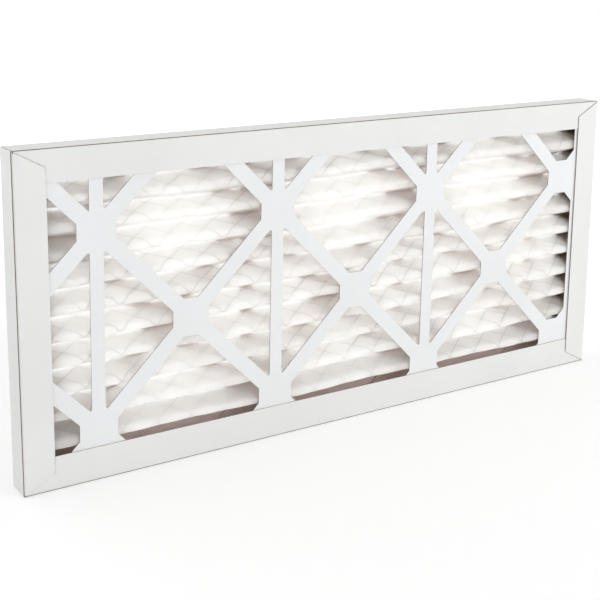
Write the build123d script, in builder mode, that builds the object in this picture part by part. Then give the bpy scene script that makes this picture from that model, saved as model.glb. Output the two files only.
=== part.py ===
"""Pleated panel air filter: a 10 x 22 x 1 inch nominal panel.

A pack of non-woven media, folded into pleats over a wire backing, is held between two
die-cut lattice sheets.  Two folded board trays close over it, the front tray's walls inside
the rear tray's.  The panel stands on its long bottom edge.

Frame: X runs along the width, Y from the front face to the rear face, Z up.  The origin is
at the middle of the bottom edge.  All sizes are in millimetres.
"""

import os
from math import sqrt

from build123d import *

# Whole panel
width = 546.0
height = 248.0
depth = 24.0

# Folded board trays
board = 0.6
bend_radius = 1.0
side_border = 23.5
top_border = 24.0
bottom_border = 25.5
tab_taper = 13.0
edge_reveal = 1.3
wall_end_gap = 0.2
seam_gap = 0.5

# Die-cut lattice sheet
lattice_board = 0.6
sheet_side_gap = 10.3
sheet_end_gap = 6.8
sheet_side_margin = 13.0
sheet_end_margin = 8.0
node_pitch = 148.4
node_columns = 4
barred_columns = 3
pattern_shift_x = 11.3
pattern_shift_y = 14.0
arm_width = 12.2
bar_width = 10.6
node_flat = 14.8
cut_radius = 1.2

# Where each lattice sheet was glued, measured from the middle of the panel
front_lattice_shift = (-3.0, 0.0)
front_lattice_skew = 0.62
rear_lattice_shift = (2.7, -5.7)
rear_lattice_skew = 0.0

# Pleated pack
media_thickness = 1.2
wire_thickness = 0.3
pleat_pitch = 19.7
fold_radius = 2.4
last_fold_height = 23.0
pack_clearance = 0.1
pack_end_gap = 0.4
bead_thickness = 1.2
bead_face_gap = 1.1
bead_end_gap = 2.0

# Layers, counted from the outer face towards the middle of the panel
half_depth = depth / 2
side_flange_face = half_depth
end_flange_face = side_flange_face - board
lattice_face = end_flange_face - board
pack_face = lattice_face - lattice_board - pack_clearance

# Box inside both trays' walls, and the lattice sheet that fits in it
inside_half_width = width / 2 - 2 * board
inside_bottom = 2 * board
inside_top = height - 2 * board
sheet_width = 2 * (inside_half_width - sheet_side_gap)
sheet_height = inside_top - inside_bottom - 2 * sheet_end_gap


def face_plane(y):
    """Plane parallel to the front face at depth y, with x to the right and y down."""
    return Plane(origin=(0, y, height / 2), x_dir=(1, 0, 0), z_dir=(0, 1, 0))


def flange_section(plane, wall_middle, face, side, inner_edge):
    """L section of a flange and its bend, drawn on a plane square to the bend line.

    The section's first coordinate is the one across the wall, its second is depth.
    """
    flange_middle = side * (face - board / 2)
    wall_end = side * (face - 2 * bend_radius)
    with BuildSketch(plane) as section:
        with BuildLine():
            FilletPolyline(
                (wall_middle, wall_end),
                (wall_middle, flange_middle),
                (inner_edge, flange_middle),
                radius=bend_radius - board / 2,
            )
        trace(line_width=board)
    return section.sketch


def folded_tray(label, outer_width, outer_height, side, wall_end):
    """A board strip folded into four walls and four flanges.

    side is -1 for the tray whose flanges lie on the front face, and 1 for the rear one.
    """
    half_width = outer_width / 2
    bottom = (height - outer_height) / 2
    top = height - bottom
    wall_start = side * (side_flange_face - bend_radius)
    # Section planes: x across the wall, y in depth
    across_sides = Plane(origin=(0, 0, bottom + bend_radius), x_dir=(1, 0, 0), z_dir=(0, 0, 1))
    across_ends = Plane(
        origin=(half_width - bend_radius, 0, 0), x_dir=(0, 0, 1), z_dir=(-1, 0, 0)
    )

    with BuildPart() as tray:
        # The four walls are one strip, bent round at the corners
        with BuildSketch(face_plane(wall_start)):
            RectangleRounded(outer_width, outer_height, bend_radius)
            Rectangle(outer_width - 2 * board, outer_height - 2 * board, mode=Mode.SUBTRACT)
        extrude(amount=wall_end - wall_start)

        # Left and right flanges lie on the outside
        for edge in (-1, 1):
            section = flange_section(
                across_sides,
                wall_middle=edge * (half_width - board / 2),
                face=side_flange_face,
                side=side,
                inner_edge=edge * (width / 2 - side_border),
            )
            extrude(section, amount=outer_height - 2 * bend_radius)

        # Their ends taper, so that the top and bottom flanges show at the corners
        with BuildSketch(face_plane(side * side_flange_face)):
            for x_side in (-1, 1):
                for z_side in (-1, 1):
                    corner = (x_side * half_width, z_side * outer_height / 2)
                    inner_x = x_side * (width / 2 - side_border - board)
                    inner = (inner_x, corner[1])
                    tip = (inner_x, z_side * (outer_height / 2 - tab_taper))
                    Polygon(corner, inner, tip, align=None)
        extrude(amount=-side * board, mode=Mode.SUBTRACT)

        # Top and bottom flanges lie one board thickness under the side flanges
        for wall_middle, inner_edge in (
            (top - board / 2, height - top_border),
            (bottom + board / 2, bottom_border),
        ):
            section = flange_section(
                across_ends,
                wall_middle=wall_middle,
                face=end_flange_face,
                side=side,
                inner_edge=inner_edge,
            )
            extrude(section, amount=outer_width - 2 * bend_radius)

        # The strip's two ends meet at the top left corner
        with BuildSketch(face_plane(side * end_flange_face)):
            with Locations((-half_width + bend_radius, -outer_height / 2)):
                Rectangle(seam_gap, 4 * board)
        extrude(amount=wall_end - side * end_flange_face, mode=Mode.SUBTRACT)
    tray.part.label = label
    return tray.part


def rounded_corner_radius(opening):
    """Radius for an opening's corners, limited by its walls.

    Its sides meet at 45 degrees or more, so a fifth of the shortest side always fits.
    """
    shortest_side = min(side.length for side in opening.edges())
    return min(cut_radius, shortest_side / 5)


def lattice_openings():
    """Die-cut openings of one lattice sheet, about the sheet's middle, x right and y down.

    Diagonal arms cross at square nodes, and upright bars join the nodes of the outer rows.
    """
    window_width = sheet_width - 2 * sheet_side_margin
    window_height = sheet_height - 2 * sheet_end_margin
    half_pitch = node_pitch / 2
    first_column = pattern_shift_x - half_pitch * (node_columns - 1)
    rows = (pattern_shift_y - half_pitch, pattern_shift_y, pattern_shift_y + half_pitch)
    open_height = height / 2 - bottom_border
    flat_half_length = node_flat - arm_width / sqrt(2)
    arm_length = 2 * (window_width + window_height)

    with BuildSketch() as openings:
        Rectangle(window_width, window_height)
        # Two arms cross at each node of the top row, and run on to the other rows
        for i in range(-1, node_columns + 1):
            with Locations((first_column + node_pitch * i, rows[0])):
                Rectangle(arm_length, arm_width, rotation=45, mode=Mode.SUBTRACT)
                Rectangle(arm_length, arm_width, rotation=-45, mode=Mode.SUBTRACT)
        for i in range(barred_columns):
            with Locations((first_column + node_pitch * i, 0)):
                Rectangle(bar_width, window_height, mode=Mode.SUBTRACT)
        # Corners under the top and bottom flanges stay sharp
        for opening in openings.faces():
            corners = opening.vertices().filter_by_position(Axis.Y, -open_height, open_height)
            fillet(corners, radius=rounded_corner_radius(opening))

        # Each node widens the crossing to a square with flats
        for i in range(-1, node_columns + 1):
            for row_y in rows:
                middle_row = row_y == rows[1]
                barred = not middle_row and 0 <= i < barred_columns
                node_x = first_column + node_pitch * i + (half_pitch if middle_row else 0)
                with Locations((node_x, row_y)):
                    Rectangle(2 * node_flat, 2 * flat_half_length, mode=Mode.SUBTRACT)
                    if not barred:
                        Rectangle(2 * flat_half_length, 2 * node_flat, mode=Mode.SUBTRACT)
    return openings.sketch


def lattice_sheet(label, cut, face_y, shift, skew):
    """The lattice sheet whose front face lies at face_y, glued a little off centre."""
    with BuildPart() as sheet:
        with BuildSketch(face_plane(face_y)):
            with Locations(Location((shift[0], -shift[1], 0), (0, 0, skew))):
                Rectangle(sheet_width, sheet_height)
                add(cut, mode=Mode.SUBTRACT)
        extrude(amount=lattice_board)
    sheet.part.label = label
    return sheet.part


def fold_corner_span(fold_span, half_pitch):
    """Distance in depth between the sharp corners of a zigzag whose rounded folds span fold_span.

    Rounding a corner of half angle a by fold_radius draws it back by fold_radius / sin(a)
    less fold_radius, and tan(a) is half_pitch over the span.
    """
    inner_span = fold_span - 2 * fold_radius
    steepness = 1 - (2 * fold_radius / half_pitch) ** 2
    root = sqrt(inner_span**2 - steepness * (inner_span**2 - 4 * fold_radius**2))
    return (inner_span + root) / steepness


def pleat_corners():
    """Corners of the zigzag line where media and wire meet, from the top edge down.

    Points are (y, z), and every corner but the two ends gets rounded.  There are as many
    folds as fit.  The end legs stop just short of a lattice sheet, or under the top wall.
    """
    half_pitch = pleat_pitch / 2
    front_fold = -pack_face + media_thickness
    rear_fold = pack_face - wire_thickness
    span = fold_corner_span(rear_fold - front_fold, half_pitch)
    middle = (front_fold + rear_fold) / 2
    top = inside_top - pack_end_gap
    top_fold = int((top - last_fold_height - fold_radius) / half_pitch)
    folds = []
    for i in range(top_fold, 0, -1):
        rearward = 1 if i % 2 == 0 else -1
        folds.append((middle + rearward * span / 2, last_fold_height + half_pitch * i))

    slope = span / half_pitch
    leg_height = ((span + rear_fold - front_fold) / 2 - pack_end_gap) / slope
    top_leg_height = min(leg_height, top - folds[0][1])
    forward = 1 if folds[0][0] < middle else -1
    top_end = (folds[0][0] + forward * top_leg_height * slope, folds[0][1] + top_leg_height)
    bottom_end = (folds[-1][0] + leg_height * slope, folds[-1][1] - leg_height)
    return [top_end, *folds, bottom_end]


def pleated_layer(label, layer_thickness, layer_side):
    """One layer of the pleated pack, in front of or behind the line where they meet."""
    with BuildPart() as layer:
        with BuildSketch(Plane.YZ.offset(-inside_half_width + bead_thickness)):
            with BuildLine():
                meeting_line = FilletPolyline(*pleat_corners(), radius=fold_radius)
                offset(meeting_line, amount=layer_thickness, side=layer_side)
            make_face()
        extrude(amount=2 * (inside_half_width - bead_thickness))
    layer.part.label = label
    return layer.part


def sealing_bead(label, edge):
    """Hot-melt bead between the pleat ends and one side wall, with edge -1 left or 1 right."""
    bead_middle = edge * (inside_half_width - bead_thickness / 2)
    with BuildPart() as bead:
        with BuildSketch(Plane.XY.offset(inside_bottom + bead_end_gap)):
            with Locations((bead_middle, 0)):
                Rectangle(bead_thickness, 2 * (pack_face - bead_face_gap))
        extrude(amount=inside_top - inside_bottom - 2 * bead_end_gap)
    bead.part.label = label
    return bead.part


front_tray = folded_tray(
    "front_tray",
    outer_width=width - 2 * board,
    outer_height=height - 2 * board,
    side=-1,
    wall_end=end_flange_face - bend_radius - wall_end_gap,
)
rear_tray = folded_tray(
    "rear_tray",
    outer_width=width,
    outer_height=height,
    side=1,
    wall_end=-half_depth + edge_reveal,
)

openings_front = lattice_openings()
openings_rear = mirror(openings_front, about=Plane.YZ)
front_lattice = lattice_sheet(
    "front_lattice",
    openings_front,
    -lattice_face,
    front_lattice_shift,
    front_lattice_skew,
)
rear_lattice = lattice_sheet(
    "rear_lattice",
    openings_rear,
    lattice_face - lattice_board,
    rear_lattice_shift,
    rear_lattice_skew,
)

pleated_media = pleated_layer("pleated_media", media_thickness, Side.RIGHT)
wire_backing = pleated_layer("wire_backing", wire_thickness, Side.LEFT)
bead_left = sealing_bead("bead_left", edge=-1)
bead_right = sealing_bead("bead_right", edge=1)

os.makedirs("parts", exist_ok=True)
for piece in (
    front_tray,
    rear_tray,
    front_lattice,
    rear_lattice,
    pleated_media,
    wire_backing,
    bead_left,
    bead_right,
):
    export_step(piece, f"parts/{piece.label}.step")
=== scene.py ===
"""Looks of a pleated panel air filter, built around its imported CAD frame.

The folded board trays, the lattice sheets and the glue beads are the CAD's own solids, and
get their finish here.  The pleated media and the wire behind it are modelled here on the
CAD's fold line: the media with uneven folds and a quilted surface, the wire as its strands.
Everything is in metres, with X along the width, Y from front to rear and Z up.
"""

from bisect import bisect_left
from collections import namedtuple
from math import acos, cos, pi, radians, sin, sqrt

import bpy
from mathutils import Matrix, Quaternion, Vector, noise


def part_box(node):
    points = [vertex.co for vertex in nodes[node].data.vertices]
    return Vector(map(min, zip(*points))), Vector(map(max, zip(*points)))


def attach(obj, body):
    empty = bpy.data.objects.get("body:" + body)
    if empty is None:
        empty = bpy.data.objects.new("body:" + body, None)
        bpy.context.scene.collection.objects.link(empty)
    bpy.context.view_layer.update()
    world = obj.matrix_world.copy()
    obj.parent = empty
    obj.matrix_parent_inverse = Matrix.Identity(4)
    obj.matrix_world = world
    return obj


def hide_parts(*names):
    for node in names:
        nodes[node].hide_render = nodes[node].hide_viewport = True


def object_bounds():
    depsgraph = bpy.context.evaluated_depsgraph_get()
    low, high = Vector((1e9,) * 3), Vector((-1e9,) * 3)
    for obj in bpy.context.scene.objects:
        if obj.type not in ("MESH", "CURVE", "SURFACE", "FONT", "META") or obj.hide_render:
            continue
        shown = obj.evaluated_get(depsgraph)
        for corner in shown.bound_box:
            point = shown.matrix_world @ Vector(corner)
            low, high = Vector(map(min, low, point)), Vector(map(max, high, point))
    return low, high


MM = 0.001

# Panel, as in the CAD source
HEIGHT = 248 * MM
WALL_CLEARANCE = 1.5 * MM
SIDE_FLANGE = 23.5 * MM
TAB_TAPER = 13 * MM
MIDDLE_Z = HEIGHT / 2

# Pleated pack, as in the CAD source
MEDIA_THICKNESS = 1.2 * MM
WIRE_THICKNESS = 0.3 * MM
PACK_FACE = 10.1 * MM
PLEAT_PITCH = 19.7 * MM
FOLD_RADIUS = 2.4 * MM
LAST_FOLD_HEIGHT = 23 * MM
TOP_FOLD = 22
PACK_TOP = 246.4 * MM
END_GAP = 0.4 * MM

# How far the folds wander up and down from a perfect zigzag, over waves of this size; each
# layer is another slice of the noise
FOLD_WANDER = 2.6 * MM
WANDER_ACROSS = 95 * MM
WANDER_DOWN = 26 * MM
WANDER_LAYER = 3.1
# Smaller ripples on top of that
FOLD_RIPPLE = 0.55 * MM
RIPPLE_ACROSS = 31 * MM
RIPPLE_DOWN = 17 * MM
RIPPLE_LAYER = 9.7
# Share by which some folds fall short of the lattice
FOLD_REACH_LOSS = 0.09
REACH_ACROSS = 80 * MM
REACH_DOWN = 20 * MM
REACH_LAYER = 5.3
# The sheet's two ends are held by the frame and stay put
STILL_BELOW = 18 * MM
STILL_ABOVE = 246 * MM
STILL_FADE = 12 * MM

# Expanded wire mesh, measured flat along the folded sheet
DIAMOND_WIDTH = 28 * MM
DIAMOND_HEIGHT = 22 * MM
STRAND_WIDTH = 0.5 * MM
STRAND_SPREAD = 1.2  # a strand's width along X, because it runs aslant
STRAND_DEPTH = 0.9  # share of the wire sheet's thickness
STRAND_LIFT = 0.02 * MM
STRAND_STEPS = 7  # over half a diamond

# The wire's lines on the media, dented in and painted as the wire's shadow through the sheet,
# and the media's puff between the strands
QUILT_DEPTH = 0.35 * MM
QUILT_FULLNESS = 0.6  # the lower, the flatter each puff and the sharper its edges
LINE_WIDTH = 0.42 * MM
LINE_SLOPE = 0.79  # width across a strand's line for each unit down the sheet

# Distance from the middle over which the pleat ends get painted shade
END_SHADE_FROM = 246 * MM
END_SHADE_TO = 257 * MM

# Mesh density of the media
MEDIA_COLUMNS = 168
ROWS_PER_ARC = 6
ROWS_PER_LEG = 6

# Camera, fitted to the photographed corners
CAMERA_PLACE = Vector((-0.5159, -0.7560, 0.3851))
CAMERA_HEADING = (0.5337, 0.8457)
CAMERA_PITCH = radians(11.49)
CAMERA_ROLL = radians(0.62)
CAMERA_LENS = 69.9
CAMERA_SHIFT_Y = -0.2

# Studio light, as the strength of the surroundings and the level that each lamp gives a
# white surface facing it: name, direction it comes from, distance, level
SKY = 0.81
LAMPS = (
    ("front_key", (0.62, -0.76, 0.10), 2.5, 0.50),
    ("rear_key", (-0.42, 0.88, 0.16), 2.5, 0.18),
    ("side_key", (-0.70, 0.25, 0.66), 4.0, 0.07),
)
LAMP_SIZE = 0.75  # for each unit of distance
LIGHT_BOUNCES = 32
SHEET_BOUNCES = 24

# The floor is seen whiter with distance, until it meets the white surroundings
FLOOR_SIZE = 5.0
FLOOR_WHITE = 0.93
NEAR_FLOOR = 0.3
NEAR_LIFT = 0.125
FAR_FLOOR = 1.4
FAR_LIFT = 0.6

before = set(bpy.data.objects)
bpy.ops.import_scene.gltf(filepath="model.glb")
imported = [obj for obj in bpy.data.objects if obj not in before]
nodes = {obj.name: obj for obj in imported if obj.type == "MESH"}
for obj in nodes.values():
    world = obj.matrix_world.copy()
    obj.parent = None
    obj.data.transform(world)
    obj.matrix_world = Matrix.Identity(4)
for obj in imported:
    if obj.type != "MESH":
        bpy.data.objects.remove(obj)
cad_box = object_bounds()
half_length = cad_box[1][0]


# ---------------------------------------------------------------- shader helpers

# Places of the factor and the two colours among a Mix node's inputs, and of its colour result
MIX_FACTOR, MIX_FIRST, MIX_SECOND = 0, 6, 7
MIX_RESULT = 2

# Noise seldom leaves this range
NOISE_LOW, NOISE_HIGH = 0.3, 0.7


def new_material(name):
    """An empty node material with its output node."""
    material = bpy.data.materials.new(name)
    material.use_nodes = True
    tree = material.node_tree
    tree.nodes.clear()
    output = tree.nodes.new("ShaderNodeOutputMaterial")
    return material, tree, output


def plug(tree, value, socket):
    """Link a socket, or set a constant, on an input socket."""
    if isinstance(value, bpy.types.NodeSocket):
        tree.links.new(value, socket)
    else:
        socket.default_value = value


def calc(tree, operation, *values):
    """A Math node's result."""
    node = tree.nodes.new("ShaderNodeMath")
    node.operation = operation
    for value, socket in zip(values, node.inputs):
        plug(tree, value, socket)
    return node.outputs[0]


def ramp(tree, value, low, high, out_low=0.0, out_high=1.0):
    """A clamped, smooth map of value from low..high to out_low..out_high."""
    node = tree.nodes.new("ShaderNodeMapRange")
    node.interpolation_type = "SMOOTHSTEP"
    for item, socket in zip((value, low, high, out_low, out_high), node.inputs[:5]):
        plug(tree, item, socket)
    return node.outputs[0]


def mixed_colour(tree, factor, first, second):
    """First colour at factor 0 and second at 1."""
    node = tree.nodes.new("ShaderNodeMix")
    node.data_type = "RGBA"
    plug(tree, factor, node.inputs[MIX_FACTOR])
    plug(tree, first, node.inputs[MIX_FIRST])
    plug(tree, second, node.inputs[MIX_SECOND])
    return node.outputs[MIX_RESULT]


def noise_at(tree, coordinates, scale, detail=3.0, roughness=0.55, stretch=None):
    """Noise from 0 to 1 at coordinates in metres, optionally stretched along the axes."""
    if stretch:
        mapping = tree.nodes.new("ShaderNodeMapping")
        tree.links.new(coordinates, mapping.inputs["Vector"])
        mapping.inputs["Scale"].default_value = stretch
        coordinates = mapping.outputs[0]
    node = tree.nodes.new("ShaderNodeTexNoise")
    tree.links.new(coordinates, node.inputs["Vector"])
    node.inputs["Scale"].default_value = scale
    node.inputs["Detail"].default_value = detail
    node.inputs["Roughness"].default_value = roughness
    return node.outputs["Fac"]


def spread(tree, noise_value, out_low=0.0, out_high=1.0):
    """The noise's usual range, spread over out_low..out_high."""
    return ramp(tree, noise_value, NOISE_LOW, NOISE_HIGH, out_low, out_high)


def blotched(tree, noise_value, colours):
    """The first colour where the noise is low, the second where it is high."""
    return mixed_colour(tree, spread(tree, noise_value), *colours)


def bump(tree, height, distance, strength, normal=None):
    """A Bump node's normal."""
    node = tree.nodes.new("ShaderNodeBump")
    node.inputs["Distance"].default_value = distance
    node.inputs["Strength"].default_value = strength
    tree.links.new(height, node.inputs["Height"])
    if normal:
        tree.links.new(normal, node.inputs["Normal"])
    return node.outputs[0]


def principled(tree, base, roughness, normal, **constants):
    """A Principled surface, with further constant settings named as its inputs are."""
    surface = tree.nodes.new("ShaderNodeBsdfPrincipled")
    plug(tree, base, surface.inputs["Base Color"])
    plug(tree, roughness, surface.inputs["Roughness"])
    plug(tree, normal, surface.inputs["Normal"])
    for name, value in constants.items():
        surface.inputs[name.replace("_", " ")].default_value = value
    return surface.outputs[0]


def colour(red, green, blue):
    """A colour for a socket."""
    return (red, green, blue, 1.0)


# ---------------------------------------------------------------- materials

# The lattice's coating is a little cooler and brighter than the trays'
TRAY_WHITE = (colour(0.735, 0.742, 0.731), colour(0.763, 0.770, 0.759))
LATTICE_WHITE = (colour(0.762, 0.773, 0.779), colour(0.790, 0.800, 0.807))
FLECK = colour(0.70, 0.69, 0.67)
SEAM_BROWN = colour(0.42, 0.36, 0.27)
# Raw paper is greyish tan inside the panel and browner on its raw edges, which are darkened
# further as painted shade of the narrow gaps beside them
RAW_INSIDE = (colour(0.58, 0.485, 0.462), colour(0.68, 0.59, 0.565))
RAW_EDGE_AND_GAP_SHADE = (colour(0.15, 0.10, 0.07), colour(0.25, 0.18, 0.13))

# The media's own colour and that of the light through it: plain, with painted shadow of the wire
# behind it along its lines, and with painted shade at the pleat ends
MEDIA_WHITE = (colour(0.985, 0.985, 0.970), colour(0.998, 0.997, 0.988))
MEDIA_WIRE_SHADOW = colour(0.52, 0.49, 0.46)
MEDIA_END_SHADE = colour(0.50, 0.42, 0.37)
THROUGH_WHITE = (colour(0.975, 0.968, 0.956), colour(0.999, 0.998, 0.992))
THROUGH_WIRE_SHADOW = colour(0.45, 0.42, 0.40)
THROUGH_END_SHADE = colour(0.46, 0.37, 0.32)
MEDIA_THROUGH_SHARE = 0.80

WIRE_GREY = (colour(0.60, 0.60, 0.59), colour(0.76, 0.76, 0.75))
GLUE_CREAM = (colour(0.56, 0.49, 0.37), colour(0.68, 0.62, 0.50))

# A board's finish changes where its normal leans this much to one side
LEAN_FROM, LEAN_TO = 0.35, 0.45

# Half the width of a seam's line, from solid to gone
SEAM_SOLID, SEAM_GONE = 0.10 * MM, 0.45 * MM


def seam_line(tree, x, height_from_middle):
    """1 along the tapered ends of a tray's side flanges, 0 away from them."""
    slant = sqrt(SIDE_FLANGE**2 + TAB_TAPER**2)
    out = calc(tree, "SUBTRACT", calc(tree, "ABSOLUTE", x), half_length - SIDE_FLANGE)
    up = calc(tree, "ABSOLUTE", height_from_middle)
    up = calc(tree, "SUBTRACT", up, MIDDLE_Z - TAB_TAPER)

    across = calc(tree, "MULTIPLY", out, TAB_TAPER / slant)
    across = calc(tree, "MULTIPLY_ADD", up, -SIDE_FLANGE / slant, across)
    taper = ramp(tree, calc(tree, "ABSOLUTE", across), SEAM_SOLID, SEAM_GONE, 1.0, 0.0)
    taper = calc(tree, "MULTIPLY", calc(tree, "GREATER_THAN", up, 0.0), taper)

    # Below the taper the flange runs straight, beside the end flange and then the lattice
    side = ramp(tree, calc(tree, "ABSOLUTE", out), SEAM_SOLID, SEAM_GONE, 1.0, 0.0)
    below_taper = calc(tree, "LESS_THAN", up, 0.0)
    near_taper = calc(tree, "GREATER_THAN", up, -TAB_TAPER)
    side = calc(tree, "MULTIPLY", calc(tree, "MULTIPLY", below_taper, near_taper), side)
    return calc(tree, "MAXIMUM", taper, side)


def board_faces(tree, x, height_from_middle, normal, outward, walled):
    """How much of a place is coated, and how much is raw board inside the panel."""
    normal_x, normal_y, normal_z = normal
    facing = calc(tree, "MULTIPLY", normal_y, outward)
    coated = ramp(tree, facing, LEAN_FROM, LEAN_TO)
    inner = ramp(tree, facing, -LEAN_FROM, -LEAN_TO)
    if not walled:
        return coated, inner

    # The trays' side and end walls are coated on the side that faces out of the panel
    reaches = ((x, normal_x, half_length), (height_from_middle, normal_z, MIDDLE_Z))
    walls = []
    for place, lean, reach in reaches:
        at_wall = calc(tree, "ABSOLUTE", place)
        at_wall = calc(tree, "GREATER_THAN", at_wall, reach - WALL_CLEARANCE)
        wall_facing = calc(tree, "MULTIPLY", lean, calc(tree, "SIGN", place))
        walls.append((at_wall, wall_facing))
    at_any_wall = calc(tree, "MAXIMUM", walls[0][0], walls[1][0])
    inner = calc(tree, "MULTIPLY", inner, calc(tree, "SUBTRACT", 1.0, at_any_wall))
    for at_wall, wall_facing in walls:
        wall_coated = ramp(tree, wall_facing, LEAN_FROM, LEAN_TO)
        coated = calc(tree, "MAXIMUM", coated, calc(tree, "MULTIPLY", at_wall, wall_coated))
        wall_inner = ramp(tree, wall_facing, -LEAN_FROM, -LEAN_TO)
        inner = calc(tree, "MAXIMUM", inner, calc(tree, "MULTIPLY", at_wall, wall_inner))
    return coated, inner


def board_material(name, outward, walled):
    """Coated board: white on its outer face, raw paper inside, and raw paper darkened with
    painted shade on its edges.

    outward is -1 where the coated flanges face the front, 1 where they face the rear.
    A walled piece is a tray, whose walls are coated on their outer side too and whose
    side flanges end in a seam.
    """
    material, tree, output = new_material(name)
    coordinates = tree.nodes.new("ShaderNodeTexCoord")
    here = coordinates.outputs["Object"]
    position = tree.nodes.new("ShaderNodeSeparateXYZ")
    normal = tree.nodes.new("ShaderNodeSeparateXYZ")
    tree.links.new(here, position.inputs[0])
    tree.links.new(coordinates.outputs["Normal"], normal.inputs[0])
    x, _, z = position.outputs
    height_from_middle = calc(tree, "SUBTRACT", z, MIDDLE_Z)
    coated, inner = board_faces(tree, x, height_from_middle, normal.outputs, outward, walled)

    # Coating: a cool white with faint cloudiness and a few grey flecks
    cloud = noise_at(tree, here, scale=14, detail=4)
    white = blotched(tree, cloud, TRAY_WHITE if walled else LATTICE_WHITE)
    fleck = noise_at(tree, here, scale=420, detail=2)
    white = mixed_colour(tree, ramp(tree, fleck, 0.66, 0.78, 0, 0.35), white, FLECK)
    if walled:
        scuffed = noise_at(tree, here, scale=170)
        seam = calc(
            tree,
            "MULTIPLY",
            seam_line(tree, x, height_from_middle),
            ramp(tree, scuffed, 0.38, 0.62, 0.2, 0.75),
        )
        white = mixed_colour(tree, seam, white, SEAM_BROWN)

    # Raw paper, with long fibres along the width
    grain = noise_at(tree, here, scale=260, detail=5, stretch=(0.25, 1, 1))
    # Raw edges: the paper's own brown, darkened with painted shade of the gaps beside them
    edge_and_gap_shade = blotched(tree, grain, RAW_EDGE_AND_GAP_SHADE)
    brown = mixed_colour(tree, inner, edge_and_gap_shade, blotched(tree, grain, RAW_INSIDE))

    coated_roughness = spread(tree, noise_at(tree, here, scale=60), 0.42, 0.52)
    raw = calc(tree, "SUBTRACT", 1.0, coated)
    roughness = calc(tree, "MULTIPLY_ADD", raw, 0.35, coated_roughness)

    # Board is never quite flat: long shallow waves, and the paper's own fibres
    wave = noise_at(tree, here, scale=16, detail=2)
    fibre = noise_at(tree, here, scale=900, stretch=(1, 1, 2.2))
    waved = bump(tree, wave, distance=0.8 * MM, strength=0.35)
    surface = principled(
        tree,
        mixed_colour(tree, coated, brown, white),
        roughness,
        bump(tree, fibre, distance=0.02 * MM, strength=0.5, normal=waved),
        IOR=1.45,
        Specular_IOR_Level=0.35,
    )
    tree.links.new(surface, output.inputs["Surface"])
    return material


def sheet_coordinates(tree):
    """Flat-sheet coordinates in metres: both, across, and down along the folded sheet."""
    uv = tree.nodes.new("ShaderNodeUVMap")
    uv.uv_map = "FlatSheet"
    parts = tree.nodes.new("ShaderNodeSeparateXYZ")
    tree.links.new(uv.outputs[0], parts.inputs[0])
    return uv.outputs[0], parts.outputs[0], parts.outputs[1]


def strand_lines(tree, across, down):
    """1 on the lines of the wire diamonds behind the sheet, where it is dented and painted with
    the wire's shadow, 0 between them.
    """
    lines = []
    for slant in (1, -1):
        along = calc(tree, "DIVIDE", across, DIAMOND_WIDTH)
        rise = calc(tree, "DIVIDE", down, slant * DIAMOND_HEIGHT)
        # The phase grows from one line of this slant to the next, and is whole on a line
        phase = calc(tree, "FRACT", calc(tree, "ADD", along, rise))
        from_middle = calc(tree, "ABSOLUTE", calc(tree, "SUBTRACT", phase, 0.5))
        to_line = calc(tree, "SUBTRACT", 0.5, from_middle)
        gap = calc(tree, "MULTIPLY", to_line, DIAMOND_HEIGHT * LINE_SLOPE)
        lines.append(ramp(tree, gap, 0.35 * LINE_WIDTH, LINE_WIDTH, 1.0, 0.0))
    return calc(tree, "MAXIMUM", *lines)


def media_material():
    """White non-woven media: fibrous, soft, and lit through from behind."""
    material, tree, output = new_material("filter_media")
    flat, across, down = sheet_coordinates(tree)
    here = tree.nodes.new("ShaderNodeTexCoord").outputs["Object"]

    # Painted shadow of the wire behind the sheet, along lines where the sheet is also dented;
    # the lines show more in some places than in others
    faded = ramp(tree, noise_at(tree, here, scale=9, detail=2), 0.42, 0.60, 0.25, 1.0)
    pressed_and_wire_shadow = calc(tree, "MULTIPLY", strand_lines(tree, across, down), faded)
    # Painted shade on the ends of the pleats beside the side walls, in patches
    near_end = ramp(tree, calc(tree, "ABSOLUTE", across), END_SHADE_FROM, END_SHADE_TO)
    patchy = ramp(tree, noise_at(tree, here, scale=70), 0.3, 0.6, 0.35, 0.85)
    painted_end_shade = calc(tree, "MULTIPLY", near_end, patchy)

    clump = noise_at(tree, flat, scale=240, detail=4, roughness=0.65)
    white = blotched(tree, clump, MEDIA_WHITE)
    # Painted wire shadow on the reflected colour, and below on the light through it
    white = mixed_colour(tree, calc(tree, "MULTIPLY", pressed_and_wire_shadow, 0.25), white, MEDIA_WIRE_SHADOW)
    white = mixed_colour(tree, painted_end_shade, white, MEDIA_END_SHADE)
    thin = noise_at(tree, flat, scale=42)
    through = blotched(tree, thin, THROUGH_WHITE)
    through = mixed_colour(tree, calc(tree, "MULTIPLY", pressed_and_wire_shadow, 0.33), through, THROUGH_WIRE_SHADOW)
    through = mixed_colour(tree, painted_end_shade, through, THROUGH_END_SHADE)

    fibres = noise_at(tree, flat, scale=1500, detail=4, roughness=0.7, stretch=(0.35, 1, 1))
    height = calc(tree, "MULTIPLY_ADD", fibres, 0.35, clump)
    normal = bump(tree, height, distance=0.35 * MM, strength=0.6)
    unpressed = calc(tree, "SUBTRACT", 1.0, pressed_and_wire_shadow)
    normal = bump(tree, unpressed, distance=0.25 * MM, strength=0.5, normal=normal)

    front = principled(tree, white, 0.95, normal, Specular_IOR_Level=0.1, Sheen_Weight=0.1)
    glow = tree.nodes.new("ShaderNodeBsdfTranslucent")
    tree.links.new(through, glow.inputs["Color"])
    tree.links.new(normal, glow.inputs["Normal"])
    mix = tree.nodes.new("ShaderNodeMixShader")
    mix.inputs[0].default_value = MEDIA_THROUGH_SHARE
    tree.links.new(front, mix.inputs[1])
    tree.links.new(glow.outputs[0], mix.inputs[2])
    tree.links.new(mix.outputs[0], output.inputs["Surface"])
    return material


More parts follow.
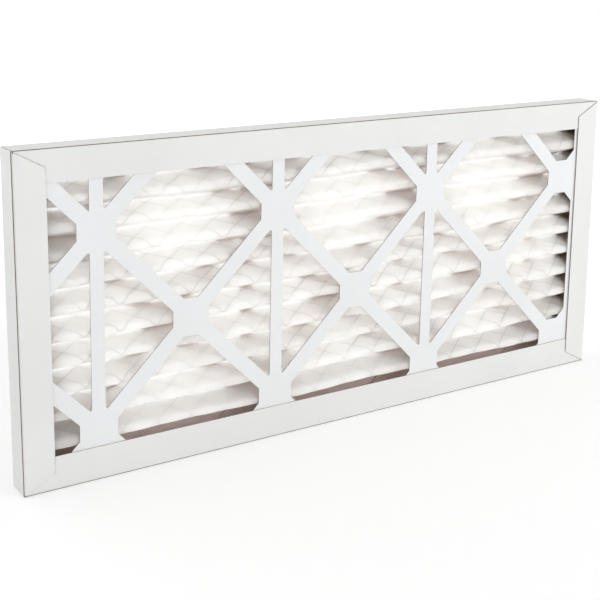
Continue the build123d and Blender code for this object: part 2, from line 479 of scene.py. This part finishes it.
def wire_material():
    """Dull galvanised wire."""
    material, tree, output = new_material("backing_wire")
    here = tree.nodes.new("ShaderNodeTexCoord").outputs["Object"]
    spangle = noise_at(tree, here, scale=500)
    surface = principled(
        tree,
        blotched(tree, spangle, WIRE_GREY),
        spread(tree, spangle, 0.38, 0.58),
        bump(tree, spangle, distance=0.05 * MM, strength=0.4),
        Metallic=0.85,
    )
    tree.links.new(surface, output.inputs["Surface"])
    return material


def glue_material():
    """Cream hot-melt glue, lumpy and slightly glossy."""
    material, tree, output = new_material("hot_melt")
    here = tree.nodes.new("ShaderNodeTexCoord").outputs["Object"]
    lump = noise_at(tree, here, scale=160)
    surface = principled(
        tree,
        blotched(tree, lump, GLUE_CREAM),
        spread(tree, lump, 0.28, 0.45),
        bump(tree, lump, distance=0.6 * MM, strength=0.6),
    )
    tree.links.new(surface, output.inputs["Surface"])
    return material


# ---------------------------------------------------------------- the fold line

# A point of the fold line, its normal towards the rear and its length from the top end
Row = namedtuple("Row", "y z normal_y normal_z length")


def fold_corners():
    """Sharp corners (y, z) of the fold line, from the top edge down, as in the CAD source."""
    half_pitch = PLEAT_PITCH / 2
    front_fold = -PACK_FACE + MEDIA_THICKNESS
    rear_fold = PACK_FACE - WIRE_THICKNESS
    inner_span = rear_fold - front_fold - 2 * FOLD_RADIUS
    steepness = 1 - (2 * FOLD_RADIUS / half_pitch) ** 2
    root = sqrt(inner_span**2 - steepness * (inner_span**2 - 4 * FOLD_RADIUS**2))
    span = (inner_span + root) / steepness
    middle = (front_fold + rear_fold) / 2
    folds = []
    for i in range(TOP_FOLD, 0, -1):
        rearward = 1 if i % 2 == 0 else -1
        folds.append(Vector((middle + rearward * span / 2, LAST_FOLD_HEIGHT + half_pitch * i)))
    slope = span / half_pitch
    leg_height = ((span + rear_fold - front_fold) / 2 - END_GAP) / slope
    top_height = min(leg_height, PACK_TOP - folds[0][1])
    top_end = folds[0] + Vector((-top_height * slope, top_height))
    bottom_end = folds[-1] + Vector((leg_height * slope, -leg_height))
    return [top_end, *folds, bottom_end]


def turned(vector, angle):
    """A plane vector, turned anticlockwise."""
    return Vector(
        (
            vector[0] * cos(angle) - vector[1] * sin(angle),
            vector[0] * sin(angle) + vector[1] * cos(angle),
        )
    )


def fold_rows():
    """Rows of the rounded fold line, which stand closer together round a fold than on a leg."""
    corners = fold_corners()
    rows = []

    def add(point, direction):
        length = 0.0
        if rows:
            above = rows[-1]
            length = above.length + (point - Vector((above.y, above.z))).length
        # Going down, the rear is to the left of the direction of travel
        rows.append(Row(point[0], point[1], -direction[1], direction[0], length))

    start = corners[0]
    for before, corner, after in zip(corners, corners[1:], corners[2:]):
        arriving = (corner - before).normalized()
        leaving = (after - corner).normalized()
        turn = acos(max(-1.0, min(1.0, arriving.dot(leaving))))
        tangent = FOLD_RADIUS * sin(turn / 2) / cos(turn / 2)
        bend_start = corner - arriving * tangent
        for k in range(ROWS_PER_LEG):
            add(start.lerp(bend_start, k / ROWS_PER_LEG), arriving)
        side = 1 if arriving[0] * leaving[1] - arriving[1] * leaving[0] > 0 else -1
        towards_centre = Vector((-arriving[1], arriving[0])) * side
        centre = bend_start + towards_centre * FOLD_RADIUS
        for k in range(ROWS_PER_ARC):
            angle = side * turn * k / ROWS_PER_ARC
            spoke = turned(-towards_centre, angle)
            add(centre + spoke * FOLD_RADIUS, turned(arriving, angle))
        start = corner + leaving * tangent
    end = corners[-1]
    last = (end - start).normalized()
    for k in range(ROWS_PER_LEG + 1):
        add(start.lerp(end, k / ROWS_PER_LEG), last)
    return rows


def folded_place(x, row, offset, quilt=0.0):
    """Where a point of the sheet lies: offset behind the fold line, with the folds' wander."""
    y, z, normal_y, normal_z = row[:4]
    y += normal_y * offset
    z += normal_z * offset
    wander = noise.noise(Vector((x / WANDER_ACROSS, z / WANDER_DOWN, WANDER_LAYER)))
    ripple = noise.noise(Vector((x / RIPPLE_ACROSS, z / RIPPLE_DOWN, RIPPLE_LAYER)))
    from_bottom = min(1.0, max(0.0, (z - STILL_BELOW) / STILL_FADE))
    from_top = min(1.0, max(0.0, (STILL_ABOVE - z) / STILL_FADE))
    inside = from_bottom * from_top
    z_moved = z + inside * (FOLD_WANDER * wander + FOLD_RIPPLE * ripple)
    reach = noise.noise(Vector((x / REACH_ACROSS, z / REACH_DOWN, REACH_LAYER)))
    y_moved = y * (1 - FOLD_REACH_LOSS * (0.5 + 0.5 * reach) * inside)
    return Vector((x, y_moved + normal_y * quilt, z_moved + normal_z * quilt))


def quilting(x, length):
    """How far the media puffs out between the wires, 0 on a strand and 1 mid-diamond."""
    first = x / DIAMOND_WIDTH + length / DIAMOND_HEIGHT
    second = x / DIAMOND_WIDTH - length / DIAMOND_HEIGHT
    return abs(sin(pi * first) * sin(pi * second)) ** QUILT_FULLNESS


# ---------------------------------------------------------------- meshes


def mesh_object(name, vertices, faces, material, smooth=True):
    """A mesh object in the scene."""
    mesh = bpy.data.meshes.new(name)
    mesh.from_pydata(vertices, [], faces)
    mesh.polygons.foreach_set("use_smooth", [smooth] * len(mesh.polygons))
    mesh.materials.append(material)
    mesh.update()
    made = bpy.data.objects.new(name, mesh)
    bpy.context.scene.collection.objects.link(made)
    return made


def pleated_sheet(rows, half_width):
    """The media: one sheet of two faces, closed round its edges."""
    columns = MEDIA_COLUMNS + 1
    count = len(rows)
    vertices = []
    flat = []
    for offset in (-MEDIA_THICKNESS, 0.0):
        for row in rows:
            for c in range(columns):
                x = -half_width + 2 * half_width * c / MEDIA_COLUMNS
                # Only the front face is quilted: it sinks where a strand lies behind it
                puff = QUILT_DEPTH * (quilting(x, row.length) - 1)
                quilt = -puff if offset < 0 else 0.0
                vertices.append(folded_place(x, row, offset, quilt))
                flat.append((x, row.length))

    def at(side, r, c):
        return (side * count + r) * columns + c

    faces = []
    for r in range(count - 1):
        for c in range(columns - 1):
            faces.append((at(0, r, c), at(0, r + 1, c), at(0, r + 1, c + 1), at(0, r, c + 1)))
            faces.append((at(1, r, c), at(1, r, c + 1), at(1, r + 1, c + 1), at(1, r + 1, c)))
        for c in (0, columns - 1):
            edge = (at(0, r, c), at(1, r, c), at(1, r + 1, c), at(0, r + 1, c))
            faces.append(edge if c == 0 else edge[::-1])
    for c in range(columns - 1):
        for r in (0, count - 1):
            edge = (at(0, r, c), at(0, r, c + 1), at(1, r, c + 1), at(1, r, c))
            faces.append(edge if r == 0 else edge[::-1])
    sheet = mesh_object("media_sheet", vertices, faces, media_material())
    layer = sheet.data.uv_layers.new(name="FlatSheet")
    for loop in sheet.data.loops:
        layer.data[loop.index].uv = flat[loop.vertex_index]
    return sheet


def wire_mesh(rows, half_width):
    """Strands of the expanded wire, lying flat on the rear of the media."""
    lengths = [row.length for row in rows]
    half_diamond = DIAMOND_HEIGHT / 2
    vertices = []
    faces = []

    def row_at(length):
        """The fold line at a length between two rows."""
        after = min(bisect_left(lengths, length, 1), len(rows) - 1)
        low, high = rows[after - 1], rows[after]
        share = (length - low.length) / (high.length - low.length)
        y, z, normal_y, normal_z = (a + (b - a) * share for a, b in zip(low[:4], high[:4]))
        size = sqrt(normal_y**2 + normal_z**2)
        return Row(y, z, normal_y / size, normal_z / size, length)

    def strand(x0, length0, slant):
        """One strand across half a diamond."""
        first = len(vertices)
        sections = 0
        for k in range(STRAND_STEPS + 1):
            length = length0 + half_diamond * k / STRAND_STEPS
            if length > lengths[-1]:
                break
            x = x0 + slant * (DIAMOND_WIDTH / 2) * k / STRAND_STEPS
            x = max(-half_width, min(half_width, x))
            row = row_at(length)
            for shift, depth in ((-0.5, 0.0), (0.5, 0.0), (0.5, 1.0), (-0.5, 1.0)):
                strand_x = x + shift * STRAND_WIDTH * STRAND_SPREAD
                offset = depth * WIRE_THICKNESS * STRAND_DEPTH + STRAND_LIFT
                vertices.append(folded_place(strand_x, row, offset))
            sections += 1
        for k in range(sections - 1):
            base = first + 4 * k
            for a in range(4):
                b = (a + 1) % 4
                faces.append((base + a, base + b, base + 4 + b, base + 4 + a))
        if sections > 1:
            faces.append((first, first + 3, first + 2, first + 1))
            last = first + 4 * (sections - 1)
            faces.append((last, last + 1, last + 2, last + 3))

    bands = int(lengths[-1] / half_diamond) + 1
    across = int(half_width / DIAMOND_WIDTH) + 1
    for band in range(bands):
        start = band * half_diamond
        shift = 0.5 * DIAMOND_WIDTH * (band % 2)
        for i in range(-across, across + 1):
            x0 = i * DIAMOND_WIDTH + shift
            for slant in (-1, 1):
                if abs(x0) < half_width and abs(x0 + slant * DIAMOND_WIDTH / 2) < half_width:
                    strand(x0, start, slant)
    return mesh_object("wire_strands", vertices, faces, wire_material(), smooth=False)


# ---------------------------------------------------------------- the object


def dress_cad_nodes():
    """Give each CAD node that stays its finish."""
    finishes = {
        "front_tray": board_material("board_front_tray", -1, walled=True),
        "rear_tray": board_material("board_rear_tray", 1, walled=True),
        "front_lattice": board_material("board_front_lattice", -1, walled=False),
        "rear_lattice": board_material("board_rear_lattice", 1, walled=False),
        "bead_left": glue_material(),
    }
    finishes["bead_right"] = finishes["bead_left"]
    for name, material in finishes.items():
        node = nodes[name]
        node.data.materials.clear()
        node.data.materials.append(material)


def add_media_and_wire():
    """The pleated media and its wire, in place of the CAD's smooth solids."""
    rows = fold_rows()
    half_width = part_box("pleated_media")[1][0]
    media = pleated_sheet(rows, half_width)
    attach(media, "root")
    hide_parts("pleated_media")
    wire = wire_mesh(rows, half_width)
    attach(wire, "root")
    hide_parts("wire_backing")


# ---------------------------------------------------------------- the studio


def background_ray(tree):
    """1 for rays that show the surroundings: from the camera, off a gloss or through a sheet."""
    path = tree.nodes.new("ShaderNodeLightPath")
    seen = calc(tree, "MAXIMUM", path.outputs["Is Camera Ray"], path.outputs["Is Glossy Ray"])
    return calc(tree, "MAXIMUM", seen, path.outputs["Is Transmission Ray"])


def studio_world():
    """Even surroundings that are seen as plain white."""
    world = bpy.data.worlds.new("studio")
    world.use_nodes = True
    bpy.context.scene.world = world
    tree = world.node_tree
    tree.nodes.clear()
    output = tree.nodes.new("ShaderNodeOutputWorld")
    background = tree.nodes.new("ShaderNodeBackground")
    background.inputs["Color"].default_value = colour(1, 1, 1)
    strength = calc(tree, "MULTIPLY_ADD", background_ray(tree), 1.0 - SKY, SKY)
    tree.links.new(strength, background.inputs["Strength"])
    tree.links.new(background.outputs[0], output.inputs["Surface"])


def studio_floor():
    """A pale floor that keeps the panel's shadow and otherwise shows white."""
    half = FLOOR_SIZE / 2
    corners = [(-half, -half, 0), (half, -half, 0), (half, half, 0), (-half, half, 0)]
    material, tree, output = new_material("floor")
    surface = tree.nodes.new("ShaderNodeBsdfDiffuse")
    surface.inputs["Color"].default_value = colour(FLOOR_WHITE, FLOOR_WHITE, FLOOR_WHITE)
    lift = tree.nodes.new("ShaderNodeEmission")
    lift.inputs["Color"].default_value = colour(1, 1, 1)
    place = tree.nodes.new("ShaderNodeTexCoord")
    distance = tree.nodes.new("ShaderNodeVectorMath")
    distance.operation = "LENGTH"
    tree.links.new(place.outputs["Object"], distance.inputs[0])
    away = distance.outputs["Value"]
    strength = ramp(tree, away, NEAR_FLOOR, FAR_FLOOR, NEAR_LIFT, FAR_LIFT)
    strength = calc(tree, "MULTIPLY", background_ray(tree), strength)
    tree.links.new(strength, lift.inputs["Strength"])
    both = tree.nodes.new("ShaderNodeAddShader")
    tree.links.new(surface.outputs[0], both.inputs[0])
    tree.links.new(lift.outputs[0], both.inputs[1])
    tree.links.new(both.outputs[0], output.inputs["Surface"])
    floor = mesh_object("floor", corners, [(0, 1, 2, 3)], material, smooth=False)


def add_lamp(name, towards, distance, level):
    """A large softbox in the given direction, worth level on a white surface that faces it."""
    light = bpy.data.lights.new(name, "AREA")
    light.size = LAMP_SIZE * distance
    light.energy = level * (pi * distance) ** 2
    lamp = bpy.data.objects.new(name, light)
    aim = Vector(towards).normalized()
    lamp.location = Vector((0, 0, MIDDLE_Z)) + aim * distance
    lamp.rotation_euler = (-aim).to_track_quat("-Z", "Y").to_euler()
    lamp.visible_camera = False
    bpy.context.scene.collection.objects.link(lamp)


def studio_camera():
    """The photograph's viewpoint."""
    camera = bpy.data.cameras.new("camera")
    camera.sensor_width = 36
    camera.lens = CAMERA_LENS
    camera.shift_y = CAMERA_SHIFT_Y
    holder = bpy.data.objects.new("camera", camera)
    holder.location = CAMERA_PLACE
    ahead = Vector(
        (
            CAMERA_HEADING[0] * cos(CAMERA_PITCH),
            CAMERA_HEADING[1] * cos(CAMERA_PITCH),
            -sin(CAMERA_PITCH),
        )
    )
    level = ahead.to_track_quat("-Z", "Y")
    holder.rotation_euler = (level @ Quaternion((0, 0, 1), CAMERA_ROLL)).to_euler()
    bpy.context.scene.collection.objects.link(holder)
    bpy.context.scene.camera = holder


def render_settings():
    """Plain colours, and light that crosses several thin pleats before it leaves the panel."""
    scene = bpy.context.scene
    scene.view_settings.view_transform = "Standard"
    scene.cycles.max_bounces = LIGHT_BOUNCES
    scene.cycles.diffuse_bounces = SHEET_BOUNCES
    scene.cycles.transmission_bounces = SHEET_BOUNCES


dress_cad_nodes()
add_media_and_wire()
studio_world()
studio_floor()
for lamp_facts in LAMPS:
    add_lamp(*lamp_facts)
studio_camera()
render_settings()
